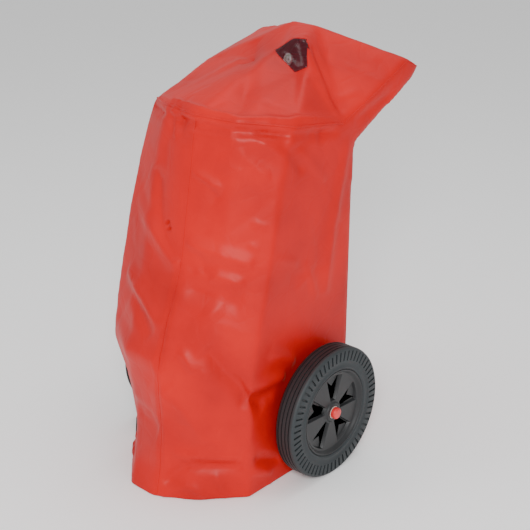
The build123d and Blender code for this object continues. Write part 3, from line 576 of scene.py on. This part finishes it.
# folds pressed into the cloth: depth and half width in mm (a minus sinks it), then the line's points
folds = dict(
    # hood
    hoodValley=(-7, 34, (-88, 128, 901), (10, 0, 862), (102, -131, 821)),
    hoodLeftRise=(4, 30, (-120, -60, 846), (-60, 60, 880)),
    gaugeCrease=(4, 14, (102, 73, 881), (150, 76, 830), (190, 76, 786)),
    darkBand=(-6, 22, (84, 118, 914), (150, 100, 846), (188, 86, 796)),
    hoodDent=(-4, 16, (-48, 32, 872), (-42, 70, 884)),
    seamLip=(9, 16, (-175, -88, 806), (-100, -132, 817), (18, -164, 828), (112, -146, 820), (172, -60, 810),
             (195, 69, 788)),
    underLip=(-10, 16, (-178, -100, 786), (-100, -152, 794), (18, -188, 800), (108, -166, 796),
              (180, -84, 784),
              (200, 64, 762)),
    lipGather=(-4, 14, (110, -150, 826), (112, -120, 838)),
    lipGatherTwo=(-3, 12, (40, -160, 828), (40, -120, 838)),
    lipGatherThree=(-3, 12, (-40, -150, 824), (-52, -110, 836)),
    # front panel, right of the sewn seam
    pullOne=(6, 20, (25, -195, 706), (94, -177, 675)),
    pullOneUnder=(-5, 18, (25, -198, 690), (88, -180, 650)),
    pullTwo=(8, 30, (35, -222, 559), (161, -160, 525)),
    valleyTwo=(-8, 26, (26, -228, 545), (95, -212, 494)),
    ridgeTwo=(7, 26, (60, -223, 508), (152, -175, 484)),
    shadeThree=(-6, 34, (50, -240, 470), (150, -180, 440)),
    streakOne=(2, 12, (149, -150, 612), (176, -131, 601)),
    streakTwo=(2, 12, (150, -159, 568), (165, -150, 554)),
    streakThree=(3, 14, (185, -118, 535), (190, -52, 503)),
    streakFour=(3, 16, (190, -26, 498), (190, 14, 401)),
    crumpleOne=(5, 26, (130, -141, 792), (160, -112, 762), (186, -88, 740)),
    crumpleTwo=(4, 18, (150, -122, 773), (193, -19, 773)),
    crumpleThree=(-4, 16, (195, 32, 776), (194, 2, 755)),
    crumpleFour=(4, 20, (191, -51, 749), (193, 29, 665)),
    crumpleFive=(-5, 20, (180, -96, 770), (192, -40, 700)),
    crumpleSix=(4, 18, (120, -160, 760), (170, -122, 700)),
    lowValley=(-12, 40, (110, -250, 350), (179, -204, 251), (188, -155, 207)),
    wheelQuadTop=(7, 26, (189, -136, 323), (190, -60, 274)),
    wheelQuadLow=(9, 24, (176, -207, 262), (190, -90, 256)),
    wheelQuadUnder=(-9, 26, (170, -215, 240), (188, -130, 222)),
    lowRidge=(6, 22, (62, -274, 343), (94, -270, 301)),
    bellySweep=(8, 60, (40, -300, 260), (110, -262, 160), (160, -212, 110)),
    slump=(-8, 26, (60, -297, 74), (120, -262, 78), (176, -213, 76)),
    slumpRidge=(7, 22, (58, -305, 100), (120, -270, 106), (174, -222, 100)),
    slumpTurn=(-6, 20, (65, -297, 70), (43, -313, 30)),
    hemPeakLeft=(6, 18, (36, -325, 6), (92, -289, 36)),
    hemPeakRight=(6, 18, (92, -289, 36), (124, -268, 8)),
    hemRib=(7, 16, (128, -250, 62), (150, -232, 4)),
    wheelCrumple=(-8, 20, (184, -185, 90), (186, -101, 48)),
    wheelCrumpleTwo=(6, 16, (182, -196, 64), (186, -130, 30)),
    # left of the sewn seam
    leftRidgeOne=(9, 34, (-150, -150, 610), (-60, -214, 560), (20, -238, 508)),
    leftValleyOne=(-9, 36, (-84, -192, 690), (-30, -216, 600), (18, -236, 520)),
    leftRidgeTwo=(8, 34, (-146, -218, 450), (-60, -262, 420), (6, -281, 378)),
    leftValleyTwo=(-7, 30, (-110, -250, 415), (-21, -282, 350)),
    leftPleatOne=(-5, 14, (-70, -152, 815), (-32, -182, 770)),
    leftPleatTwo=(-5, 14, (-37, -160, 818), (-8, -186, 780)),
    leftPleatThree=(5, 14, (-54, -158, 814), (-16, -190, 750)),
    leftSag=(8, 40, (-185, -200, 318), (-90, -276, 300), (18, -302, 312)),
    leftTuck=(-7, 34, (-160, -180, 190), (-70, -268, 170), (18, -304, 150)),
    leftHem=(5, 22, (-110, -262, 60), (-52, -312, 6)),
    # the sewn front seam lies in a shallow dip
    seamDip=(-3, 10, (24, -188, 750), (25, -209, 632), (26, -236, 505), (21, -281, 378), (21, -300, 318),
             (24, -307, 116), (28, -320, 30)),
    # rear and sides
    sidePull=(5, 26, (198, 100, 740), (192, 60, 560), (190, 40, 400)),
    rearFall=(7, 34, (60, 125, 700), (40, 125, 420), (52, 125, 120)),
    rearFallTwo=(-7, 34, (-10, 125, 710), (-24, 125, 380), (-8, 125, 60)),
    rearFallThree=(7, 30, (-84, 125, 690), (-98, 125, 420), (-80, 125, 40)),
    rearFallFour=(-6, 30, (120, 125, 700), (132, 125, 400), (116, 125, 60)),
    underSlack=(-8, 40, (-120, 230, 776), (0, 236, 770), (120, 230, 776)),
    gussetPull=(-4, 18, (203, 120, 770), (204, 250, 812)),
    backDrape=(-5, 40, (60, 230, 916), (70, 300, 890)),
    backDrapeLeft=(-5, 40, (-110, 200, 905), (-100, 290, 893)),
    leftSideFall=(6, 34, (-190, 30, 700), (-188, 0, 460), (-190, -30, 260)),
    leftSideFallTwo=(-6, 34, (-192, -40, 640), (-188, -70, 380), (-184, -90, 140)),
)
foldStrength = 1.4  # scales every fold and crease
crumples = dict(seed=11, count=150, reach=(30, 80), depth=(0.5, 1.6), width=(10, 22))


def pressFold(points, depth, width, tree, normals, offsets):
    # adds one fold: a sharp middle, a soft foot, fading towards both ends
    reach = {}
    lengths = [(b - a).length for a, b in zip(points, points[1:])]
    done = 0.0
    for a, b, length in zip(points, points[1:], lengths):
        for place, index, _ in tree.find_range((a + b) / 2, length / 2 + width):
            part = min(max(intersect_point_line(place, a, b)[1], 0.0), 1.0)
            gap = (place - a.lerp(b, part)).length / width
            if gap < 1:
                along = (done + part * length) / sum(lengths)
                fade = (4 * along * (1 - along)) ** 0.35 if 0 < along < 1 else 0.0
                reach[index] = max(reach.get(index, 0.0), fade * (1 - gap) ** 1.6)
        done += length
    for index, share in reach.items():
        offsets[index] += normals[index] * (foldStrength * depth * share)


def foldCloth(bm):
    # the listed folds, then many small seeded crumples, all measured on the unfolded cloth
    bm.verts.ensure_lookup_table()
    bm.normal_update()
    tree = KDTree(len(bm.verts))
    for vert in bm.verts:
        tree.insert(vert.co, vert.index)
    tree.balance()
    normals = [vert.normal.copy() for vert in bm.verts]
    offsets = [Vector() for vert in bm.verts]
    for depth, width, *points in folds.values():
        pressFold([Vector(p) * mm for p in points], depth * mm, width * mm, tree, normals, offsets)
    chance = random.Random(crumples["seed"])
    for _ in range(crumples["count"]):
        vert = bm.verts[chance.randrange(len(bm.verts))]
        heading = Vector((chance.uniform(-1, 1), chance.uniform(-1, 1), chance.uniform(-1, 1)))
        across = vert.normal.cross(heading)
        half = across.normalized() * chance.uniform(*crumples["reach"]) * mm
        bend = vert.normal.cross(half).normalized() * chance.uniform(-8, 8) * mm
        depth = chance.choice((-1, 1)) * chance.uniform(*crumples["depth"]) * mm
        width = chance.uniform(*crumples["width"]) * mm
        pressFold([vert.co - half, vert.co + bend, vert.co + half], depth, width, tree, normals, offsets)
    for vert in bm.verts:
        vert.co += offsets[vert.index]
    bmesh.ops.smooth_vert(bm, verts=bm.verts, factor=0.35,
                          use_axis_x=True, use_axis_y=True, use_axis_z=True)


def settleOver(bm, nodes, gap):
    # pushes the cloth out of the pieces that it lies over
    for node in nodes:
        solid = bmesh.new()
        solid.from_mesh(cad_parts[node].data)
        tree = BVHTree.FromBMesh(solid)
        solid.free()
        low, high = boxOf(node)
        reach = Vector((gap, gap, gap))
        for vert in bm.verts:
            inBox = all(a <= c <= b for a, c, b in zip(low - reach, vert.co, high + reach))
            if not inBox:
                continue
            place, normal, _, distance = tree.find_nearest(vert.co)
            outside = (vert.co - place).dot(normal)
            if outside < gap and (outside > 0 or distance < 25 * mm):
                vert.co += normal * (gap - outside)


window = dict(
    corners="gaugeLeft gaugeFront gaugeRight gaugeHighRight gaugeHigh",
    margin=2,
    depth=18,
    film=0.7,
)


def cutWindow(bm):
    # cuts the window's outline into the cloth and lifts its faces off as the clear pane
    corners = [Vector(cover["hood"][name]) * mm for name in window["corners"].split()]
    centre = sum(corners, Vector()) / len(corners)
    normal = (corners[1] - corners[0]).cross(corners[4] - corners[0]).normalized()
    near = [f for f in bm.faces if (f.calc_center_median() - centre).length < 90 * mm
            and abs((f.calc_center_median() - centre).dot(normal)) < window["depth"] * mm]
    planes = []
    for a, b in zip(corners, corners[1:] + corners[:1]):
        outwards = (b - a).cross(normal).normalized()
        point = a + outwards * window["margin"] * mm
        planes.append((point, outwards))
        near = [f for f in near if f.is_valid]
        # in a fixed order, so that each run gives the same mesh
        parts = near + [e for f in near for e in f.edges] + [v for f in near for v in f.verts]
        cut = bmesh.ops.bisect_plane(bm, geom=list(dict.fromkeys(parts)), plane_co=point, plane_no=outwards)
        made = [f for f in cut["geom"] if isinstance(f, bmesh.types.BMFace)]
        near = list(dict.fromkeys([f for f in near if f.is_valid] + made))
    inside = [f for f in near if f.is_valid
              and all((f.calc_center_median() - point).dot(outwards) < 0 for point, outwards in planes)]
    bm.faces.index_update()
    marked = {f.index for f in inside}
    pane = bm.copy()
    bmesh.ops.delete(bm, geom=inside, context="FACES")
    pane.faces.ensure_lookup_table()
    rest = [f for f in pane.faces if f.index not in marked]
    bmesh.ops.delete(pane, geom=rest, context="FACES")
    return pane


seams = dict(
    # radius of the raised edge and its line in mm
    topSeam=(2.4, (-186, -84, 799), (-110, -134, 809), (-72, -152, 813), (25, -178, 818), (114, -152, 813),
             (190, -62, 798), (200, 80, 778)),
    frontSeam=(1.0, (24, -186, 806), (25, -196, 720), (25, -211, 632), (26, -236, 505), (21, -281, 378),
               (21, -300, 318), (24, -307, 116), (28, -325, 4)),
    rightGussetSeam=(1.2, (200, 84, 778), (205, 200, 828), (205, 297, 872), (205, 340, 852)),
    leftGussetSeam=(1.2, (-188, -60, 806), (-190, 84, 854), (-205, 288, 888), (-205, 337, 868)),
    rearSeam=(1.2, (-196, 124, 722), (0, 125, 722), (196, 124, 722)),
    leftRearSeam=(1.2, (-190, 124, 722), (-190, 125, 315), (-187, 125, 4)),
    rightRearSeam=(1.2, (192, 124, 722), (190, 125, 315), (187, 125, 4)),
    step=6,
)


def makeSeam(name, radius, points, tree):
    # a thin sewn edge that follows the cloth
    points = [Vector(p) * mm for p in points]
    route = []
    for a, b in zip(points, points[1:]):
        steps = max(2, round((b - a).length / (seams["step"] * mm)))
        route += [a.lerp(b, i / steps) for i in range(steps)]
    route.append(points[-1])
    curve = bpy.data.curves.new(name, "CURVE")
    curve.dimensions = "3D"
    curve.bevel_depth = radius * mm
    curve.bevel_resolution = 1
    curve.use_fill_caps = True
    spline = curve.splines.new("POLY")
    spline.points.add(len(route) - 1)
    for point, place in zip(spline.points, route):
        point.co = (*tree.find_nearest(place)[0], 1)
    holder = bpy.data.objects.new(name + "Line", curve)
    bpy.context.scene.collection.objects.link(holder)
    graph = bpy.context.evaluated_depsgraph_get()
    bm = bmesh.new()
    bm.from_mesh(bpy.data.meshes.new_from_object(holder.evaluated_get(graph)))
    bpy.data.objects.remove(holder)
    return meshObject(name, bm, finishes["cover_pvc"], "cover")


clothMesh = fineCloth()
foldCloth(clothMesh)
settleOver(clothMesh, ("cylinder",), 10 * mm)
settleOver(clothMesh, ("base_plate",), 4 * mm)
cutOpen(clothMesh)
clothTree = BVHTree.FromBMesh(clothMesh)
seamPieces = [makeSeam(name, line[0], line[1:], clothTree)
              for name, line in seams.items() if name != "step"]
paneMesh = cutWindow(clothMesh)
print("cover cloth faces:", len(clothMesh.faces))
coverPanels = [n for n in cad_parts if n.startswith(("cover_", "hood_"))]
coverCloth = meshObject("weatherCoverCloth", clothMesh, finishes["cover_pvc"], "cover")
thickness = coverCloth.modifiers.new("clothThickness", "SOLIDIFY")
thickness.thickness = cover["cloth"] * mm
thickness.offset = -1.0
applyModifiers(coverCloth)
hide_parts(*coverPanels)
windowPane = meshObject("gaugeWindowFilm", paneMesh, finishes["clear_pvc"], "cover")
film = windowPane.modifiers.new("filmThickness", "SOLIDIFY")
film.thickness = window["film"] * mm
film.offset = -1.0
applyModifiers(windowPane)
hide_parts("gauge_window")
print("cover made")

bpy.ops.mesh.primitive_plane_add(size=14, location=(0, 0, 0))
floor = bpy.context.object
floor.name = "studioFloor"
floorPaint = bpy.data.materials.new("paleStudioPaint")
floorPaint.use_nodes = True
floorShader = floorPaint.node_tree.nodes["Principled BSDF"]
floorShader.inputs["Base Color"].default_value = hexLinear("FFFFFF")
floorShader.inputs["Roughness"].default_value = 0.9
floor.data.materials.append(floorPaint)

world = bpy.data.worlds.new("studioLight")
bpy.context.scene.world = world
world.use_nodes = True
world.node_tree.nodes["Background"].inputs["Color"].default_value = hexLinear("FFFFFF")
world.node_tree.nodes["Background"].inputs["Strength"].default_value = 0.75

lamps = {
    # softbox: place, aim, side in metres, watts
    "keySoftbox": dict(place=(2.2, -2.6, 2.4), size=0.9, power=115),
    "frontSoftbox": dict(place=(-1.6, -2.2, 2.2), size=1.0, power=9),
    "topSoftbox": dict(place=(0.0, 0.6, 3.2), size=1.8, power=26),
}
aim = Vector((0, 0, 0.45))
for name, lamp in lamps.items():
    light = bpy.data.lights.new(name, "AREA")
    light.size = lamp["size"]
    light.energy = lamp["power"]
    holder = bpy.data.objects.new(name, light)
    bpy.context.scene.collection.objects.link(holder)
    holder.location = lamp["place"]
    holder.rotation_euler = (aim - holder.location).to_track_quat("-Z", "Y").to_euler()

view = dict(place=(1.655, -1.830, 1.467), tilt=67.2, turn=41.2, lens=81.5)
cameraData = bpy.data.cameras.new("studioCamera")
cameraData.lens = view["lens"]
cameraData.sensor_width = 36
camera = bpy.data.objects.new("studioCamera", cameraData)
bpy.context.scene.collection.objects.link(camera)
camera.location = view["place"]
camera.rotation_euler = (math.radians(view["tilt"]), 0, math.radians(view["turn"]))
bpy.context.scene.camera = camera
